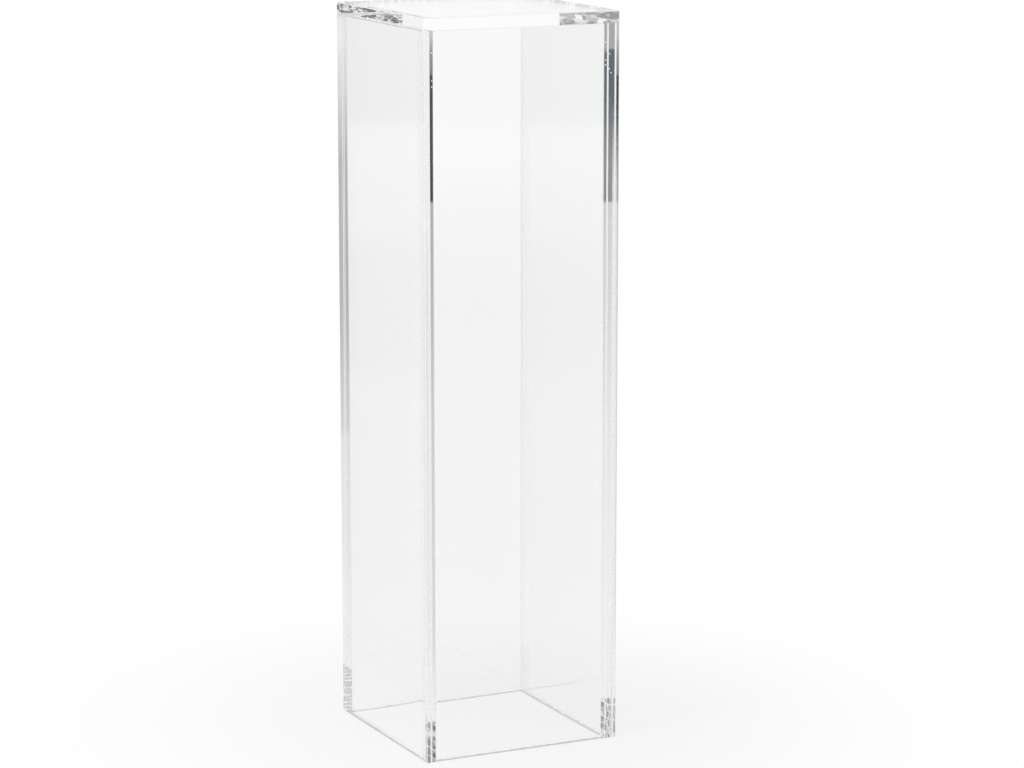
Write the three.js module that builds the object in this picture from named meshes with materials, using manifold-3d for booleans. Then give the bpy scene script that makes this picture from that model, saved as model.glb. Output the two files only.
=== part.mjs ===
// Clear acrylic display pedestal: a tall square case of five thick cast sheets, cemented edge to face.
// Four walls stand on the floor with their ends open below, and the top lies flush on the walls' upper ends.
// The front and back walls run the full width and cover the ends of the two side walls.
// Millimetres, +Z up. The origin is the centre of the footprint, on the floor, and the front wall faces -Y.
import * as THREE from "three";
import { mergeVertices } from "three/addons/utils/BufferGeometryUtils.js";
import Module from "manifold-3d";

const INCH = 25.4;

// Driving dimensions.
const WIDTH = 12 * INCH; // over the outer faces of the side walls
const DEPTH = 12 * INCH; // over the outer faces of the front and back walls
const HEIGHT = 42 * INCH; // from the floor to the display surface
const WALL_SHEET = 0.75 * INCH; // thickness of the sheet that the four walls are cut from
const TOP_SHEET = 0.75 * INCH; // thickness of the top's sheet
const OUTER_ARRIS = 1.0; // leg of the polished 45 degree chamfer along every outer edge
const MOUTH_ARRIS = 0.6; // leg of the same chamfer round the inner edge of the open bottom
const BOND_LINE = 0.3; // space that shim wires hold open between two sheets for the cement
const BEAD_RADIUS = 1.2; // concave bead that the squeezed-out cement leaves along each inner corner
const WETTING_GAP = 0.02; // clearance that keeps the solid of the cement off the sheets
const BEAD_STEPS = 6; // facets on the bead's quarter circle

// Planes that the pieces share.
const OUTER_X = WIDTH / 2;
const OUTER_Y = DEPTH / 2;
const INNER_X = OUTER_X - WALL_SHEET;
const INNER_Y = OUTER_Y - WALL_SHEET;
const TOP_UNDERSIDE = HEIGHT - TOP_SHEET;
const WALL_END = TOP_UNDERSIDE - BOND_LINE; // upper ends of the walls
const SIDE_END = INNER_Y - BOND_LINE; // vertical ends of the side walls

const wasm = await Module();
wasm.setup();

// Polished acrylic is almost colourless; the cured cement is a shade warmer.
const acrylic = new THREE.MeshStandardMaterial({
  color: 0xf2f7f6,
  roughness: 0.04,
  metalness: 0,
  transparent: true,
  opacity: 0.3,
});
const cement = new THREE.MeshStandardMaterial({
  color: 0xf6f6ee,
  roughness: 0.15,
  metalness: 0,
  transparent: true,
  opacity: 0.4,
});

// A closed geometry as a solid that can be joined and cut.
function solidFrom(geometry) {
  geometry.deleteAttribute("normal");
  geometry.deleteAttribute("uv");
  const merged = mergeVertices(geometry);
  return new wasm.Manifold(
    new wasm.Mesh({
      numProp: 3,
      vertProperties: merged.getAttribute("position").array,
      triVerts: new Uint32Array(merged.index.array),
    }),
  );
}

// The solid again as a geometry, moved so that its place is left to the mesh that shows it.
function geometryFrom(solid, place) {
  const { numProp, numVert, vertProperties, triVerts } = solid.getMesh();
  const corners = new Float32Array(numVert * 3);
  for (let i = 0; i < numVert; i++) {
    corners.set(vertProperties.subarray(i * numProp, i * numProp + 3), i * 3);
  }
  const geometry = new THREE.BufferGeometry();
  geometry.setAttribute("position", new THREE.BufferAttribute(corners, 3));
  geometry.setIndex(new THREE.BufferAttribute(triVerts, 1));
  geometry.translate(-place.x, -place.y, -place.z);
  geometry.computeVertexNormals();
  return geometry;
}

// A plain block between two opposite corners.
function block(low, high) {
  const size = new THREE.Vector3().subVectors(high, low);
  const centre = new THREE.Vector3().addVectors(low, high).multiplyScalar(0.5);
  const box = new THREE.BoxGeometry(size.x, size.y, size.z);
  return solidFrom(box.translate(centre.x, centre.y, centre.z));
}

// A stack of level rectangles, given as half-width, half-depth and height, joined into one closed skin.
function rectangleStack(levels) {
  const corners = levels.flatMap(([x, y, z]) => [-x, -y, z, x, -y, z, x, y, z, -x, y, z]);
  const last = (levels.length - 1) * 4;
  const faces = [0, 2, 1, 0, 3, 2, last, last + 1, last + 2, last, last + 2, last + 3];
  for (let ring = 0; ring < last; ring += 4) {
    for (let side = 0; side < 4; side++) {
      const a = ring + side;
      const b = ring + ((side + 1) % 4);
      faces.push(a, b, b + 4, a, b + 4, a + 4);
    }
  }
  const geometry = new THREE.BufferGeometry();
  geometry.setAttribute("position", new THREE.Float32BufferAttribute(corners, 3));
  geometry.setIndex(faces);
  return solidFrom(geometry);
}

// A rectangle with its four corners clipped at 45 degrees, extruded along the shape's own normal.
function clippedPrism(halfU, halfV, clip, length) {
  const shape = new THREE.Shape();
  shape.moveTo(halfU, halfV - clip);
  shape.lineTo(halfU - clip, halfV);
  shape.lineTo(clip - halfU, halfV);
  shape.lineTo(-halfU, halfV - clip);
  shape.lineTo(-halfU, clip - halfV);
  shape.lineTo(clip - halfU, -halfV);
  shape.lineTo(halfU - clip, -halfV);
  shape.lineTo(halfU, clip - halfV);
  shape.closePath();
  const prism = new THREE.ExtrudeGeometry(shape, { depth: length, bevelEnabled: false });
  return prism.translate(0, 0, -length / 2);
}

// The outside of the finished case. One prism along each axis clips four edges, and what all three share
// has every outer edge arrised, with the chamfers mitred where they meet at the corners.
function polishedOutside() {
  const halfHeight = HEIGHT / 2;
  const alongZ = clippedPrism(OUTER_X, OUTER_Y, OUTER_ARRIS, HEIGHT);
  const alongY = clippedPrism(OUTER_X, halfHeight, OUTER_ARRIS, DEPTH).rotateX(Math.PI / 2);
  const alongX = clippedPrism(halfHeight, OUTER_Y, OUTER_ARRIS, WIDTH).rotateY(Math.PI / 2);
  const prisms = [alongZ, alongY, alongX].map((prism) => solidFrom(prism.translate(0, 0, halfHeight)));
  return prisms[0].intersect(prisms[1]).intersect(prisms[2]);
}

// The flare that takes the sharp inner edge off the open bottom, run a little past the floor.
function mouthFlare() {
  const over = MOUTH_ARRIS;
  return rectangleStack([
    [INNER_X + MOUTH_ARRIS + over, INNER_Y + MOUTH_ARRIS + over, -over],
    [INNER_X, INNER_Y, MOUTH_ARRIS],
  ]);
}

const outside = polishedOutside();
const flare = mouthFlare();

// A full-width wall. Side -1 is the front and +1 the back.
function broadWall(side) {
  const outer = side * OUTER_Y;
  const inner = side * INNER_Y;
  const low = new THREE.Vector3(-OUTER_X, Math.min(outer, inner), 0);
  const high = new THREE.Vector3(OUTER_X, Math.max(outer, inner), WALL_END);
  return block(low, high).intersect(outside).subtract(flare);
}

// A side wall, which stands between the two full-width walls. Side -1 is the left and +1 the right.
function sideWall(side) {
  const outer = side * OUTER_X;
  const inner = side * INNER_X;
  const low = new THREE.Vector3(Math.min(outer, inner), -SIDE_END, 0);
  const high = new THREE.Vector3(Math.max(outer, inner), SIDE_END, WALL_END);
  return block(low, high).intersect(outside).subtract(flare);
}

// The top, whose own four edges are part of the polished outside.
function topSheet() {
  const low = new THREE.Vector3(-OUTER_X, -OUTER_Y, TOP_UNDERSIDE);
  const high = new THREE.Vector3(OUTER_X, OUTER_Y, HEIGHT);
  return block(low, high).intersect(outside);
}

// Section of an upright seam, measured inwards from the outer corner: a film between the broad wall's
// inner face and the side wall's end, and a concave bead against the two inner faces.
function uprightSeamSection(sideX, sideY) {
  const faceX = WALL_SHEET + WETTING_GAP; // inner face of the side wall
  const faceY = WALL_SHEET + WETTING_GAP; // inner face of the broad wall
  const endY = WALL_SHEET + BOND_LINE - WETTING_GAP; // end of the side wall
  const outline = [[0, faceY], [faceX + BEAD_RADIUS, faceY]];
  for (let step = 1; step <= BEAD_STEPS; step++) {
    const turn = (step / BEAD_STEPS) * (Math.PI / 2);
    const x = faceX + BEAD_RADIUS * (1 - Math.sin(turn));
    outline.push([x, faceY + BEAD_RADIUS * (1 - Math.cos(turn))]);
  }
  outline.push([faceX, endY], [0, endY]);
  const place = ([x, y]) => new THREE.Vector2(sideX * (OUTER_X - x), sideY * (OUTER_Y - y));
  return new THREE.Shape(outline.map(place));
}

// An upright seam runs up to the walls' ends, but its bead stops under the bead of the top seam.
function uprightSeam(sideX, sideY) {
  const section = uprightSeamSection(sideX, sideY);
  const length = WALL_END - WETTING_GAP;
  const seam = solidFrom(new THREE.ExtrudeGeometry(section, { depth: length, bevelEnabled: false }));
  const beadEnd = TOP_UNDERSIDE - BEAD_RADIUS - BOND_LINE;
  const topBeadZone = block(
    new THREE.Vector3(-INNER_X, -INNER_Y, beadEnd),
    new THREE.Vector3(INNER_X, INNER_Y, HEIGHT),
  );
  return seam.intersect(outside).subtract(topBeadZone).subtract(flare);
}

// The top seam is one ring, because the top is cemented to all four walls at once: a film over the walls'
// ends, and a concave bead hanging from the underside of the top.
function topSeam() {
  const ceiling = TOP_UNDERSIDE - WETTING_GAP;
  const floor = WALL_END + WETTING_GAP;
  const film = block(
    new THREE.Vector3(-OUTER_X, -OUTER_Y, floor),
    new THREE.Vector3(OUTER_X, OUTER_Y, ceiling),
  );
  const faceX = INNER_X - WETTING_GAP;
  const faceY = INNER_Y - WETTING_GAP;
  const beadFloor = ceiling - BEAD_RADIUS;
  const bead = block(
    new THREE.Vector3(-faceX, -faceY, beadFloor),
    new THREE.Vector3(faceX, faceY, ceiling),
  );
  const hollow = [];
  for (let step = 0; step <= BEAD_STEPS; step++) {
    const turn = (step / BEAD_STEPS) * (Math.PI / 2);
    const inset = BEAD_RADIUS * (1 - Math.cos(turn));
    hollow.push([faceX - inset, faceY - inset, beadFloor + BEAD_RADIUS * Math.sin(turn)]);
  }
  const [[x, y, z]] = hollow;
  hollow.unshift([x, y, z - BEAD_RADIUS]);
  const [narrowX, narrowY, narrowZ] = hollow.at(-1);
  hollow.push([narrowX, narrowY, narrowZ + BEAD_RADIUS]);
  return film.intersect(outside).add(bead).subtract(rectangleStack(hollow));
}

// Shows a solid as a named mesh that stands at the solid's own centre.
function piece(name, solid, material) {
  const { min, max } = solid.boundingBox();
  const place = new THREE.Vector3((min[0] + max[0]) / 2, (min[1] + max[1]) / 2, (min[2] + max[2]) / 2);
  const mesh = new THREE.Mesh(geometryFrom(solid, place), material);
  mesh.name = name;
  mesh.position.copy(place);
  return mesh;
}

const sheets = new THREE.Group();
sheets.add(
  piece("front_wall", broadWall(-1), acrylic),
  piece("back_wall", broadWall(1), acrylic),
  piece("left_wall", sideWall(-1), acrylic),
  piece("right_wall", sideWall(1), acrylic),
  piece("top_panel", topSheet(), acrylic),
);

const seams = new THREE.Group();
seams.add(
  piece("seam_front_left", uprightSeam(-1, -1), cement),
  piece("seam_front_right", uprightSeam(1, -1), cement),
  piece("seam_back_left", uprightSeam(-1, 1), cement),
  piece("seam_back_right", uprightSeam(1, 1), cement),
  piece("seam_top", topSeam(), cement),
);

const pedestal = new THREE.Group();
pedestal.add(sheets, seams);

export default pedestal;
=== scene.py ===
import math
from itertools import pairwise, product

import bmesh
import bpy
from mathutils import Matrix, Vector


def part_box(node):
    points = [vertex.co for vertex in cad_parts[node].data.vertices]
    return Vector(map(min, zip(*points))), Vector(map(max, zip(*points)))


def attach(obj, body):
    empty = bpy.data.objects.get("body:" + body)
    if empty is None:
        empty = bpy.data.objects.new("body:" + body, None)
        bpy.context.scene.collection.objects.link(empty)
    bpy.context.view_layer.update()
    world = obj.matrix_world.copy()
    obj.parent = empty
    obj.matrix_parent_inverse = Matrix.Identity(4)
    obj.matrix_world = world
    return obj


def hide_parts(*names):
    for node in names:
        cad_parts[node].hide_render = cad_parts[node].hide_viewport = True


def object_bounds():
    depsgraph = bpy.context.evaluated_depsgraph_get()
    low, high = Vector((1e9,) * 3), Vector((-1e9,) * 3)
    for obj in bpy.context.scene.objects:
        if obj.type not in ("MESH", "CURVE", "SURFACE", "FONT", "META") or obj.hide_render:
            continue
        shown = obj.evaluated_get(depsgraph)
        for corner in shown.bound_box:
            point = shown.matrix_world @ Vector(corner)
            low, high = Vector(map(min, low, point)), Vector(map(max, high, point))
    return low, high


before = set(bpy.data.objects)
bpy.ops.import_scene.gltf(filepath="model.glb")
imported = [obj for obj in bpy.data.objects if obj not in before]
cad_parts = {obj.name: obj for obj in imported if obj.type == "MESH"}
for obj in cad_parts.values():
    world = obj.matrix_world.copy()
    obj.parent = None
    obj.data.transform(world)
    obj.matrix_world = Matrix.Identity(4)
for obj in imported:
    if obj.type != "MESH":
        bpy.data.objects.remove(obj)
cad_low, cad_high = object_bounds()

# ---------------------------------------------------------------- sizes, in metres, from the frame

OUTER_X, OUTER_Y, CASE_HEIGHT = cad_high
INNER_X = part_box("right_wall")[0].x
INNER_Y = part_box("back_wall")[0].y
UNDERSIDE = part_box("top_panel")[0].z
WALL_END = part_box("front_wall")[1].z
SIDE_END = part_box("right_wall")[1].y

MM = 0.001
ARRIS = 1.0 * MM  # polished chamfer along every outer edge
CLEAR_OF_ARRIS = 0.9 * ARRIS  # a point this far in is on neither the outer skin nor a chamfer
MOUTH_ARRIS = 0.6 * MM  # chamfer round the inner edge of the open bottom
MOUTH_SIDE = 0.1  # the mouth's edges are longer than this, between the scores at the beads
BEAD = 1.2 * MM  # radius of the cement's concave bead in the inner corners
BEAD_STEPS = 6

SAME_PLACE = 1e-6
CUT_TOLERANCE = 1e-7
SQUARE = 0.9999  # the longest part of a normal is more than this on a face that is square to an axis

LEFT, RIGHT = -1, 1
FRONT, BACK = -1, 1


# ---------------------------------------------------------------- shader maths

class Value:
    """A number that comes out of a shader node. Python's operators add the Math nodes."""

    def __init__(self, shader, socket):
        self.shader = shader
        self.socket = socket

    def _math(self, operation, *values):
        return self.shader.node("Math", {"operation": operation}, values)

    def __add__(self, other):
        return self._math("ADD", self, other)

    def __sub__(self, other):
        return self._math("SUBTRACT", self, other)

    def __rsub__(self, other):
        return self._math("SUBTRACT", other, self)

    def __mul__(self, other):
        return self._math("MULTIPLY", self, other)

    def __truediv__(self, other):
        return self._math("DIVIDE", self, other)

    def __abs__(self):
        return self._math("ABSOLUTE", self)

    def __gt__(self, other):
        return self._math("GREATER_THAN", self, other)

    def __lt__(self, other):
        return self._math("LESS_THAN", self, other)

    __radd__ = __add__
    __rmul__ = __mul__

    def root(self):
        return self._math("SQRT", self)

    def ramp(self, low, high):
        """0 below low, 1 above high and smooth between them."""
        settings = {"interpolation_type": "SMOOTHSTEP"}
        return self.shader.node("MapRange", settings, {"Value": self, "From Min": low, "From Max": high})


class Shader:
    """The nodes of one material or world."""

    def __init__(self, owner):
        owner.use_nodes = True
        self.tree = owner.node_tree
        self.tree.nodes.clear()

    def node(self, kind, settings=None, inputs=(), out=0):
        """Adds a node. Its settings are made first, and then its sockets get values or links."""
        made = self.tree.nodes.new("ShaderNode" + kind)
        for name, setting in (settings or {}).items():
            if name == "stops":
                set_stops(made.color_ramp.elements, setting)
            else:
                setattr(made, name, setting)
        named = inputs.items() if isinstance(inputs, dict) else enumerate(inputs)
        for key, value in named:
            if isinstance(value, Value):
                self.tree.links.new(value.socket, made.inputs[key])
            else:
                made.inputs[key].default_value = value
        return Value(self, made.outputs[out])

    def mix(self, factor, first, second):
        return self.node("MixShader", {}, [factor, first, second])

    def colour(self, factor, first, second):
        """Mixes two colours."""
        return self.node("Mix", {"data_type": "RGBA"}, {0: factor, 6: first, 7: second}, out=2)

    def light_path(self, name):
        return self.node("LightPath", out=name)

    def axes(self, coordinates="Object"):
        """The three parts of a place on the object, in metres, or of a direction in the world."""
        made = self.node("SeparateXYZ", {}, [self.node("TexCoord", out=coordinates)])
        return [Value(self, socket) for socket in made.socket.node.outputs]

    def finish(self, surface, kind="OutputMaterial"):
        made = self.tree.nodes.new("ShaderNode" + kind)
        self.tree.links.new(surface.socket, made.inputs["Surface"])


def set_stops(elements, stops):
    """Gives a colour ramp its stops, from pairs of place and colour."""
    while len(elements) < len(stops):
        elements.new(0.5)
    for element, (place, colour) in zip(elements, stops):
        element.position = place
        element.color = colour


def grey(level):
    return (level, level, level, 1.0)


# ---------------------------------------------------------------- finishes

ACRYLIC_IOR = 1.491
TINT = (0.984, 0.987, 0.986, 1.0)  # what is left of light that has crossed one sheet
SHADOW_TINT = (0.945, 0.95, 0.948, 1.0)  # what a face lets through on the way to a lamp
BOND_SHADE = grey(0.9)  # and what a bonded face lets through
CLEAR = grey(1.0)

BOW = 1.2 * MM  # at mid-width the front and left walls bow in by this, and the others out
BROAD = 0.9  # the normal's part along the bow is more than this on a wall's two broad faces
RIPPLE = 0.012 * MM  # depth of the slow waves that casting leaves in a sheet
RIPPLE_SCALE = 14.0  # waves to a metre
RIPPLE_STRETCH = (1.0, 1.0, 0.3)  # the waves are longer upright

ARRIS_ROUGHNESS = 0.28
WALL_FROST_AND_HIGHLIGHT = 0.45  # share of matt white on a wall's arris, partly a satin polish and partly a painted highlight along the edge
# the same share on the top's arris, also partly a painted highlight
TOP_FROST_AND_HIGHLIGHT = 0.7
# white of the arrises' matt share, partly a painted highlight
MATT_AND_HIGHLIGHT_WHITE = grey(0.95)
CEMENT_ROUGHNESS = 0.08


def bow(shader, axis):
    """Height of the bow on a wall's broad faces: none at its cemented ends and most half-way between."""
    along = shader.axes()
    outer, inner, reach = ((OUTER_X, INNER_X, INNER_Y), (OUTER_Y, INNER_Y, INNER_X))[axis]
    across = along[1 - axis] / reach
    normal = shader.node("NewGeometry", out="True Normal")
    is_broad = abs(shader.node("SeparateXYZ", {}, [normal], out=axis)) > BROAD
    is_outer = abs(along[axis]) > (outer + inner) / 2
    is_positive = along[axis] > 0.0
    rises = (is_outer * 2.0 - 1.0) * (is_positive * 2.0 - 1.0)
    return (1.0 - across * across) * is_broad * rises * BOW


def polished_acrylic(name, bowed_axis=None, roughness=0.0, frost_and_highlight=0.0):
    """Clear cast sheet, a hair out of flat. Shadow rays and the floor's soft light pass through it."""
    material = bpy.data.materials.new(name)
    shader = Shader(material)
    places = shader.node("TexCoord", out="Object")
    stretched = shader.node("Mapping", {}, {"Vector": places, "Scale": RIPPLE_STRETCH})
    waves = {"Vector": stretched, "Scale": RIPPLE_SCALE, "Detail": 1.0}
    height = RIPPLE * shader.node("TexNoise", {}, waves)
    if bowed_axis is not None:
        height = height + bow(shader, bowed_axis)
    bump = shader.node("Bump", {}, {"Strength": 1.0, "Distance": 1.0, "Height": height})
    clear = shader.node("BsdfPrincipled", {}, {
        "Base Color": TINT,
        "Roughness": roughness,
        "IOR": ACRYLIC_IOR,
        "Transmission Weight": 1.0,
        "Normal": bump,
    })
    shaded = shader.node("BsdfTransparent", {}, [SHADOW_TINT])
    through = shader.node("BsdfTransparent", {}, [CLEAR])
    if frost_and_highlight:
        # mixes in matt white: partly a satin polish, partly a painted highlight on the edge
        clear = shader.mix(frost_and_highlight, clear, shader.node("BsdfDiffuse", {}, [MATT_AND_HIGHLIGHT_WHITE]))
    surface = shader.mix(shader.light_path("Is Shadow Ray"), clear, shaded)
    shader.finish(shader.mix(shader.light_path("Is Diffuse Ray"), surface, through))
    return material


def bonded_face():
    """A face that cement wets: the index is the same on both sides, so light goes straight through."""
    material = bpy.data.materials.new("bonded_face")
    shader = Shader(material)
    through = shader.node("BsdfTransparent", {}, [CLEAR])
    shaded = shader.node("BsdfTransparent", {}, [BOND_SHADE])
    shader.finish(shader.mix(shader.light_path("Is Shadow Ray"), through, shaded))
    return material


FILM_TINT = (0.978, 0.979, 0.976, 1.0)
# matt white in the front seams: partly hazy cement, partly a painted highlight
HAZE_AND_HIGHLIGHT = grey(0.98)
HAZE_AND_HIGHLIGHT_EDGE = 0.4 * MM

RIM_HAZE_AND_HIGHLIGHT = 1.8 * MM  # width of the white along the outer edge of a seam: partly hazy cement, partly a painted highlight
LINE_HAZE_AND_HIGHLIGHT = 1.5 * MM  # half the width of the white line part-way in: partly hazy cement, partly a painted highlight
LINE_PLACE = INNER_X + 6.7 * MM
ROOT_HAZE_AND_HIGHLIGHT = 1.2 * MM  # width of the white at the root of the right seam: partly hazy cement, partly a painted highlight
ROOT_SHARE = 0.75
LOW_HAZE_AND_HIGHLIGHT = 5.0 * MM  # width of the fainter white along the right seam's outer edge, lower down: partly hazy cement, partly a painted highlight
LOW_EDGE = 1.5 * MM
LOW_START = 0.945  # height at which it starts, to be whole LOW_FADE further down
LOW_FADE = 0.16
LOW_SHARE = 0.55

BUBBLE = 1.1 * MM  # radius of the air bubbles that are caught in the cement, drawn as matt white spots: a painted glint
BUBBLE_EDGE = 0.3 * MM
BUBBLES = [  # across and up the front seams
    (-0.1350, 1.0173), (-0.1348, 0.9786), (-0.1350, 0.9701),
    (0.1366, 1.0210), (0.1368, 0.9957), (0.1367, 0.9887),
    (0.1428, 1.0044), (0.1425, 0.9830), (0.1455, 0.9774),
]


def hazed_and_highlit_film():
    """Cement between two sheets: clear, but white in the front seams, partly from its hazing where it
    drew back as it cured and partly a painted highlight for the bright lines that the seams show.
    """
    material = bpy.data.materials.new("cement_film")
    shader = Shader(material)
    x, y, z = shader.axes()
    rim = (abs(x) - (OUTER_X - RIM_HAZE_AND_HIGHLIGHT)).ramp(0.0, RIM_HAZE_AND_HIGHLIGHT / 2)
    line = (LINE_HAZE_AND_HIGHLIGHT - abs(abs(x) - LINE_PLACE)).ramp(0.0, HAZE_AND_HIGHLIGHT_EDGE)
    root = (INNER_X + ROOT_HAZE_AND_HIGHLIGHT - x).ramp(0.0, HAZE_AND_HIGHLIGHT_EDGE) * (x > 0.0) * ROOT_SHARE
    low = (x - (OUTER_X - LOW_HAZE_AND_HIGHLIGHT)).ramp(0.0, LOW_EDGE) * (LOW_START - z).ramp(0.0, LOW_FADE)
    white = rim + line + root + low * LOW_SHARE * (1.0 - rim)
    # each bubble adds a matt white spot to the mask: a painted glint
    for bubble_x, bubble_z in BUBBLES:
        across = x - bubble_x
        up = z - bubble_z
        white = white + (BUBBLE - (across * across + up * up).root()).ramp(0.0, BUBBLE_EDGE)
    # the white mask paints highlights in the seams as well as their hazing
    through = shader.node("BsdfTransparent", {}, [FILM_TINT])
    haze_and_highlight_bsdf = shader.node("BsdfDiffuse", {}, [HAZE_AND_HIGHLIGHT])
    shader.finish(shader.mix(white * (y < 0.0), through, haze_and_highlight_bsdf))
    return material


# ---------------------------------------------------------------- the case's pieces

def block(low, high):
    """A bmesh box between two corners."""
    bm = bmesh.new()
    bmesh.ops.create_cube(bm, size=1.0)
    bmesh.ops.scale(bm, vec=high - low, verts=bm.verts)
    bmesh.ops.translate(bm, vec=(low + high) / 2, verts=bm.verts)
    return bm


def cut(bm, point, normal, is_outer_removed=False):
    """Scores a bmesh along a plane, or takes away what lies beyond it. Returns the cut's edges."""
    geometry = [*bm.verts, *bm.edges, *bm.faces]
    made = bmesh.ops.bisect_plane(bm, geom=geometry, dist=CUT_TOLERANCE, plane_co=point, plane_no=normal,
                                  clear_outer=is_outer_removed)
    return [e for e in made["geom_cut"] if isinstance(e, bmesh.types.BMEdge)]


def arris_planes():
    """A point on and the outward normal of each 45 degree chamfer on the case's twelve outer edges."""
    half = Vector((OUTER_X, OUTER_Y, CASE_HEIGHT / 2))
    middle = Vector((0, 0, CASE_HEIGHT / 2))
    for axis in range(3):
        for first, second in product((-1, 1), repeat=2):
            normal = Vector((0, 0, 0))
            normal[(axis + 1) % 3] = first
            normal[(axis + 2) % 3] = second
            edge = Vector(n * h for n, h in zip(normal, half))
            yield middle + edge - normal * ARRIS / 2, normal.normalized()


def cut_arrises(bm):
    """Takes away what lies beyond the chamfers and closes the cuts."""
    for point, normal in arris_planes():
        rim = cut(bm, point, normal, is_outer_removed=True)
        if rim:
            bmesh.ops.edgenet_fill(bm, edges=rim)


def split_at_beads(bm):
    """Scores the faces along the cement's beads, so that each side can have a finish of its own."""
    sides = product(((0, INNER_X - BEAD), (1, INNER_Y - BEAD)), (-1, 1))
    scores = [(axis, side * place) for (axis, place), side in sides]
    scores.append((2, UNDERSIDE - BEAD))
    for axis, place in scores:
        normal = Vector((0, 0, 0))
        normal[axis] = 1
        cut(bm, normal * place, normal)


def is_square(face):
    return max(abs(n) for n in face.normal) > SQUARE


def is_inside(point):
    """True for a point on neither the outer skin nor its chamfers."""
    return (abs(point.x) < OUTER_X - CLEAR_OF_ARRIS and abs(point.y) < OUTER_Y - CLEAR_OF_ARRIS
            and CLEAR_OF_ARRIS < point.z < CASE_HEIGHT - CLEAR_OF_ARRIS)


def is_in_clear_cavity(point):
    """True on the inner face of a wall or of the top, away from the beads in its corners."""
    within = (abs(point.x) < INNER_X - BEAD, abs(point.y) < INNER_Y - BEAD, point.z < UNDERSIDE - BEAD)
    return sum(within) >= 2


def put(name, bm, materials, replaced):
    """Makes a bmesh an object of the case, in the place of a node and with the given material slots."""
    bmesh.ops.recalc_face_normals(bm, faces=bm.faces)
    mesh = bpy.data.meshes.new(name)
    bm.to_mesh(mesh)
    bm.free()
    for material in materials:
        mesh.materials.append(material)
    made = bpy.data.objects.new(name, mesh)
    bpy.context.scene.collection.objects.link(made)
    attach(made, "root")
    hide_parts(replaced)


def bevel_mouth(bm):
    """Chamfers the inner edge of the open bottom on one wall."""
    def on_mouth(edge):
        middle = (edge.verts[0].co + edge.verts[1].co) / 2
        on_face = min(abs(abs(middle.x) - INNER_X), abs(abs(middle.y) - INNER_Y)) < SAME_PLACE
        at_bottom = abs(middle.z) < SAME_PLACE
        return at_bottom and on_face and is_in_clear_cavity(middle) and edge.calc_length() > MOUTH_SIDE

    edges = [e for e in bm.edges if on_mouth(e)]
    bmesh.ops.bevel(bm, geom=edges, offset=MOUTH_ARRIS, affect="EDGES", segments=1, profile=0.5,
                    material=-1)


def sheet(node, finish, arris):
    """One cut sheet with its polished edges, square where it is cemented."""
    bm = block(*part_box(node))
    cut_arrises(bm)
    split_at_beads(bm)
    bevel_mouth(bm)
    materials = [finish, bond, arris]
    for face in bm.faces:
        middle = face.calc_center_median()
        if not is_square(face):
            face.material_index = materials.index(arris)
        elif is_inside(middle) and not is_in_clear_cavity(middle):
            face.material_index = materials.index(bond)
    put(node + "_sheet", bm, materials, node)


def put_seam(node, bm, wetted):
    """Cuts a seam level with the case's chamfers and gives the faces on the sheets their own finish."""
    cut_arrises(bm)
    bmesh.ops.recalc_face_normals(bm, faces=bm.faces)
    for face in bm.faces:
        face.material_index = int(is_square(face) and is_inside(face.calc_center_median()))
    put(node + "_cement", bm, [cured, wetted], node)


def bead_arc():
    """Leans and drops of the bead's quarter circle, from one face that it runs out on to the other."""
    turns = [step / BEAD_STEPS * math.pi / 2 for step in range(BEAD_STEPS + 1)]
    return [(BEAD * (1 - math.sin(turn)), BEAD * (1 - math.cos(turn))) for turn in turns]


def rise(bm, faces, height):
    """Extrudes faces straight up to a height and returns the new upper ones."""
    grown = bmesh.ops.extrude_face_region(bm, geom=faces)["geom"]
    for vert in grown:
        if isinstance(vert, bmesh.types.BMVert):
            vert.co.z = height
    return [f for f in grown if isinstance(f, bmesh.types.BMFace)]


def upright_seam(node, side_x, side_y):
    """The cement between a broad wall and the end of a side wall, with its bead in the inner corner."""
    bm = bmesh.new()

    def corner(x, y):
        return bm.verts.new((side_x * x, side_y * y, 0))

    root_low, root_high = corner(INNER_X, SIDE_END), corner(INNER_X, INNER_Y)
    bm.faces.new([corner(OUTER_X, SIDE_END), corner(OUTER_X, INNER_Y), root_high, root_low])
    arc = [corner(INNER_X - lean, INNER_Y - drop) for lean, drop in bead_arc()]
    bm.faces.new([root_high, *arc, root_low])
    upper = rise(bm, list(bm.faces), UNDERSIDE - BEAD)
    film = [f for f in upper if len(f.verts) == 4]
    rise(bm, film, WALL_END)
    put_seam(node, bm, hazed_and_highlit)


def square_loop(bm, inset, height):
    """The edges of a level rectangle, a distance inside the case's outer faces."""
    made = bmesh.ops.create_grid(bm, x_segments=1, y_segments=1, size=1.0)["verts"]
    bmesh.ops.scale(bm, vec=(OUTER_X - inset, OUTER_Y - inset, 1.0), verts=made)
    bmesh.ops.translate(bm, vec=(0, 0, height), verts=made)
    face = made[0].link_faces[0]
    edges = list(face.edges)
    bmesh.ops.delete(bm, geom=[face], context="FACES_ONLY")
    return edges


def top_seam():
    """The cement under the top, one ring: a film on the walls' ends, and a bead under the top's rim."""
    thickness = OUTER_X - INNER_X
    bead = [(thickness + lean, UNDERSIDE - drop) for lean, drop in bead_arc()]
    profile = [(0, WALL_END), (0, UNDERSIDE), *bead, (thickness, WALL_END)]
    bm = bmesh.new()
    loops = [square_loop(bm, inset, height) for inset, height in profile]
    for first, second in pairwise([*loops, loops[0]]):
        bmesh.ops.bridge_loops(bm, edges=first + second)
    put_seam("seam_top", bm, bond)


side_acrylic = polished_acrylic("side_wall_acrylic", bowed_axis=0)
broad_acrylic = polished_acrylic("broad_wall_acrylic", bowed_axis=1)
top_acrylic = polished_acrylic("top_acrylic")
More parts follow.
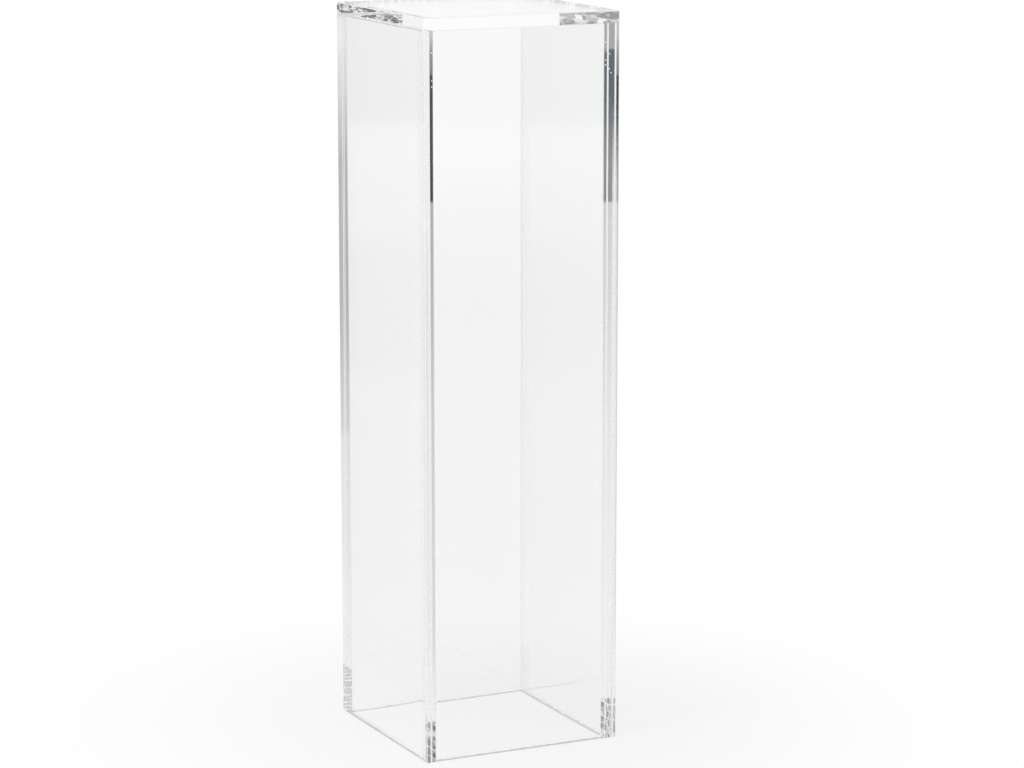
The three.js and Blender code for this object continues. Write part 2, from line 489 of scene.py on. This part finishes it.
# the arrises' matt white is partly a painted highlight
satin_and_highlight = polished_acrylic("satin_and_highlight_arris", roughness=ARRIS_ROUGHNESS, frost_and_highlight=WALL_FROST_AND_HIGHLIGHT)
frosted_and_highlight = polished_acrylic("frosted_and_highlight_arris", roughness=ARRIS_ROUGHNESS, frost_and_highlight=TOP_FROST_AND_HIGHLIGHT)
cured = polished_acrylic("cured_cement", roughness=CEMENT_ROUGHNESS)
bond = bonded_face()
hazed_and_highlit = hazed_and_highlit_film()

for node in ("front_wall", "back_wall"):
    sheet(node, broad_acrylic, satin_and_highlight)
for node in ("left_wall", "right_wall"):
    sheet(node, side_acrylic, satin_and_highlight)
sheet("top_panel", top_acrylic, frosted_and_highlight)
upright_seam("seam_front_left", LEFT, FRONT)
upright_seam("seam_front_right", RIGHT, FRONT)
upright_seam("seam_back_left", LEFT, BACK)
upright_seam("seam_back_right", RIGHT, BACK)
top_seam()

# ---------------------------------------------------------------- the studio that reflections meet

# Each wall's brightness by slope, the sine of a direction's height over the horizon.
LOWEST, HIGHEST = -0.30, 0.30
FAR_LEFT = [
    (-0.30, 0.74), (-0.19, 0.73), (-0.182, 0.65), (-0.152, 0.65), (-0.145, 0.76), (-0.118, 0.76),
    (-0.114, 0.54), (-0.08, 0.54), (0.075, 0.60), (0.10, 0.70), (0.24, 0.60), (0.27, 0.55),
]
FAR_RIGHT = [
    (-0.30, 0.87), (-0.194, 0.86), (-0.16, 0.87), (-0.145, 0.94), (-0.10, 0.95), (0.0, 1.0),
    (0.10, 1.0), (0.12, 0.85), (0.26, 0.75), (0.285, 0.60),
]
NEAR_RIGHT = [
    (-0.30, 0.55), (-0.25, 0.50), (-0.195, 0.45), (-0.167, 0.40), (-0.14, 0.60), (-0.125, 0.90),
    (-0.11, 0.77), (0.06, 0.80), (0.26, 0.75),
]
NEAR_LEFT = grey(0.70)

# A passage across the far left corner and shelves on the near right show in the corner columns only.
CORNER = (0.458, 0.521)  # x over y, where the passage turns from its steep side to its wide one
PASSAGE_STEEP = [
    (-0.30, 0.78), (-0.249, 0.72), (-0.194, 0.65), (-0.167, 0.52), (-0.138, 0.45), (-0.105, 0.15),
    (-0.0955, 0.32), (-0.091, 0.60),
]
PASSAGE_WIDE = [
    (-0.30, 0.94), (-0.249, 0.92), (-0.194, 0.86), (-0.167, 0.76), (-0.137, 0.68), (-0.132, 0.40),
    (-0.09, 0.40),
]
SHELVES = [
    (-0.30, 0.93), (-0.249, 0.88), (-0.222, 0.83), (-0.204, 0.78), (-0.2025, 0.66), (-0.18, 0.52),
    (-0.167, 0.43), (-0.1265, 0.43), (-0.115, 0.60), (-0.1065, 0.75), (-0.098, 0.82), (-0.091, 0.95),
    (-0.086, 0.90), (-0.080, 0.15), (-0.020, 0.15), (-0.010, 0.60),
]

# The dark doorway in the passage.
SILL = (-0.1388, -0.1376)
LINTEL = -0.102
LINTEL_RISE = 0.0075  # how much higher the lintel is on the wide side
LINTEL_EDGE = 0.0008
UNLIT = (0.03, 0.034, 0.04, 1.0)
DUSK = (-0.130, -0.104)
DUSK_LOW = (0.27, 0.28, 0.29, 1.0)
DUSK_HIGH = (0.09, 0.115, 0.14, 1.0)

# The ceiling: a panel and a grille low over the far wall, and beams.
CEILING_LOW, CEILING_HIGH = 0.28, 0.30
PANEL = [
    (0.2832, 0.40), (0.2852, 0.42), (0.2858, 0.75), (0.2866, 0.80), (0.2872, 0.30), (0.294, 0.28),
]
GRILLE = [
    (0.284, 0.40), (0.2845, 0.12), (0.2853, 0.12), (0.2859, 0.40), (0.2864, 0.75), (0.2869, 0.50),
    (0.2875, 0.26), (0.2883, 0.26), (0.2888, 0.55), (0.2893, 0.45), (0.2898, 0.14), (0.2906, 0.18),
    (0.2912, 0.50), (0.2917, 0.08), (0.2925, 0.10), (0.293, 0.30), (0.2936, 0.50),
]
GRILLE_WIDTH = 0.47  # x over y at the grille's ends
HIGH = 0.2
FINE_BEAMS = (640.0, 31.3, 1.0)  # scale, offset and detail of their noise
WIDE_BEAMS = (220.0, 5.2, 2.5)
BEAM_SQUASH = (1.0, 1.0, 2.5)
BEAM_EDGES = (0.42, 0.57)
COOL_GAP, COOL_BEAM = (0.09, 0.095, 0.105, 1.0), (0.88, 0.88, 0.885, 1.0)
WARM_GAP, WARM_BEAM = (0.32, 0.315, 0.30, 1.0), (0.82, 0.81, 0.79, 1.0)
MILD_GAP, MILD_BEAM = grey(0.48), grey(0.76)

# The roof, above all of these.
ROOF_EDGE = (0.31, 0.33)
ROOF_LOW, ROOF_HIGH = 0.30, 0.70
ROOF = [(0.32, 0.62), (0.37, 0.48), (0.41, 0.70), (0.45, 0.45), (0.50, 0.72), (0.56, 0.80), (0.62, 1.1)]

AMBIENT = 0.92  # strength of the white light from all round on matt surfaces


def levels(slope, stops, low=LOWEST, high=HIGHEST):
    """Grey by slope, from pairs of slope and brightness."""
    placed = [((stop - low) / (high - low), grey(level)) for stop, level in stops]
    return slope.shader.node("ValToRGB", {"stops": placed}, [(slope - low) / (high - low)])


def passage(shader, x, y, z):
    """The far left corner as the corner columns show it, with its doorway."""
    turn = (abs(x) / abs(y)).ramp(*CORNER)
    walls = shader.colour(turn, levels(z, PASSAGE_STEEP), levels(z, PASSAGE_WIDE))
    lintel = turn * LINTEL_RISE + LINTEL
    doorway = z.ramp(*SILL) * (lintel - z).ramp(0.0, LINTEL_EDGE)
    dusk = shader.colour(z.ramp(*DUSK), DUSK_LOW, DUSK_HIGH)
    return shader.colour(doorway, walls, shader.colour(turn, UNLIT, dusk))


def beams(shader, scale, offset, detail):
    """1 on a beam and 0 in a gap, as the noise has them."""
    directions = shader.node("TexCoord", out="Generated")
    squashed = shader.node("Mapping", {}, {"Vector": directions, "Scale": BEAM_SQUASH})
    inputs = {"Vector": squashed, "W": offset, "Scale": scale, "Detail": detail}
    return shader.node("TexNoise", {"noise_dimensions": "4D"}, inputs).ramp(*BEAM_EDGES)


def ceiling(shader, x, y, z):
    """Beams, cool on the right and warm on the left, and the panel and the grille at the back."""
    to_right = x > 0.0
    to_back = y > 0.0
    is_high = z > HIGH
    fine_beams = beams(shader, *FINE_BEAMS)
    cool = shader.colour(fine_beams, COOL_GAP, COOL_BEAM)
    warm = shader.colour(beams(shader, *WIDE_BEAMS), WARM_GAP, WARM_BEAM)
    mild = shader.colour(fine_beams, MILD_GAP, MILD_BEAM)
    panel = levels(z, PANEL, CEILING_LOW, CEILING_HIGH)
    grille = levels(z, GRILLE, CEILING_LOW, CEILING_HIGH)
    cool = shader.colour(is_high, cool, shader.colour(to_back, mild, panel))
    beamed = shader.colour(to_right, warm, cool)
    is_grille = is_high * to_back * (abs(x) < GRILLE_WIDTH * abs(y))
    return shader.colour(is_grille, beamed, grille)


def studio():
    """White for what is seen straight or through the sheets, and walls round the case in reflections."""
    world = bpy.data.worlds.new("studio")
    bpy.context.scene.world = world
    world.cycles.sampling_method = "NONE"
    shader = Shader(world)
    x, y, z = shader.axes("Generated")
    to_right = x > 0.0
    to_back = y > 0.0
    far_right = levels(z, FAR_RIGHT)

    near = shader.colour(to_right, NEAR_LEFT, levels(z, NEAR_RIGHT))
    far = shader.colour(to_right, levels(z, FAR_LEFT), far_right)
    outer_room = shader.colour(to_back, near, far)

    near = shader.colour(to_right, NEAR_LEFT, levels(z, SHELVES))
    far = shader.colour(to_right, passage(shader, x, y, z), far_right)
    corners = shader.colour(to_back, near, far)

    reflections = shader.light_path("Glossy Depth")
    is_once = reflections > 0.5
    is_twice = reflections > 1.5
    is_thrice = reflections > 2.5
    reflected = shader.colour(is_thrice, outer_room, corners)
    reflected = shader.colour(is_twice * (z > 0.0), reflected, ceiling(shader, x, y, z))
    roof = levels(z, ROOF, ROOF_LOW, ROOF_HIGH)
    reflected = shader.colour(z.ramp(*ROOF_EDGE), reflected, roof)

    is_diffuse = shader.light_path("Is Diffuse Ray")
    straight = shader.colour(is_diffuse, grey(1.0), grey(AMBIENT))
    seen = shader.colour(is_once * (1.0 - is_diffuse), straight, reflected)
    shader.finish(shader.node("Background", {}, [seen, 1.0]), "OutputWorld")


# ---------------------------------------------------------------- floor, lamp and camera

FLOOR_RADIUS = 1.2
FLOOR_SIDES = 96
FLOOR_DROP = 0.0004  # keeps the floor clear of the case's lower edges
FLOOR_FADE = (0.1, 0.78)  # how far out the floor starts to fade, and where it has gone
PALE = grey(0.9)

KEY_PLACE = (-2.3, -0.58, 2.4)  # high on the left
KEY_SIZE = 1.0
KEY_POWER = 17.0

# The photograph's viewpoint, from a fit to the corners of the case.
LENS = 122.8
SENSOR_WIDTH = 36.0
CAMERA_PLACE = (-2.1449, -4.5352, 1.4837)
CAMERA_DIP = 10.929  # degrees below level
CAMERA_TURN = -25.897
FARTHEST = 100.0

LIGHT_BOUNCES = 40
CLEAR_LAYERS = 64


def floor():
    """A pale disc that fades into the white round it."""
    bm = bmesh.new()
    bmesh.ops.create_circle(bm, cap_ends=True, segments=FLOOR_SIDES, radius=FLOOR_RADIUS)
    bmesh.ops.translate(bm, vec=(0, 0, -FLOOR_DROP), verts=bm.verts)
    mesh = bpy.data.meshes.new("floor")
    bm.to_mesh(mesh)
    bm.free()
    made = bpy.data.objects.new("floor", mesh)
    bpy.context.scene.collection.objects.link(made)
    material = bpy.data.materials.new("pale_floor")
    shader = Shader(material)
    x, y, z = shader.axes()
    fade = (x * x + y * y).root().ramp(*FLOOR_FADE)
    pale = shader.node("BsdfDiffuse", {}, [PALE])
    shader.finish(shader.mix(fade, pale, shader.node("BsdfTransparent", {}, [CLEAR])))
    mesh.materials.append(material)


def key_softbox():
    """A large area lamp aimed at the middle of the case, which lights it and isn't itself seen."""
    lamp = bpy.data.lights.new("key_softbox", "AREA")
    lamp.size = KEY_SIZE
    lamp.energy = KEY_POWER
    made = bpy.data.objects.new("key_softbox", lamp)
    made.location = KEY_PLACE
    aim = Vector((0, 0, CASE_HEIGHT / 2)) - Vector(KEY_PLACE)
    made.rotation_euler = aim.to_track_quat("-Z", "Y").to_euler()
    made.visible_camera = False
    made.visible_glossy = False
    made.visible_transmission = False
    bpy.context.scene.collection.objects.link(made)


def place_camera():
    camera = bpy.data.cameras.new("camera")
    camera.lens = LENS
    camera.sensor_width = SENSOR_WIDTH
    camera.clip_end = FARTHEST
    made = bpy.data.objects.new("camera", camera)
    made.location = CAMERA_PLACE
    made.rotation_euler = (math.radians(90 - CAMERA_DIP), 0, math.radians(CAMERA_TURN))
    bpy.context.scene.collection.objects.link(made)
    bpy.context.scene.camera = made


def render_depths():
    """Lets light go on through the many faces and reflections that clear sheets have."""
    cycles = bpy.context.scene.cycles
    cycles.max_bounces = LIGHT_BOUNCES
    cycles.transmission_bounces = LIGHT_BOUNCES
    cycles.glossy_bounces = LIGHT_BOUNCES
    cycles.transparent_max_bounces = CLEAR_LAYERS


studio()
floor()
key_softbox()
place_camera()
render_depths()
bpy.context.scene.view_settings.view_transform = "Standard"
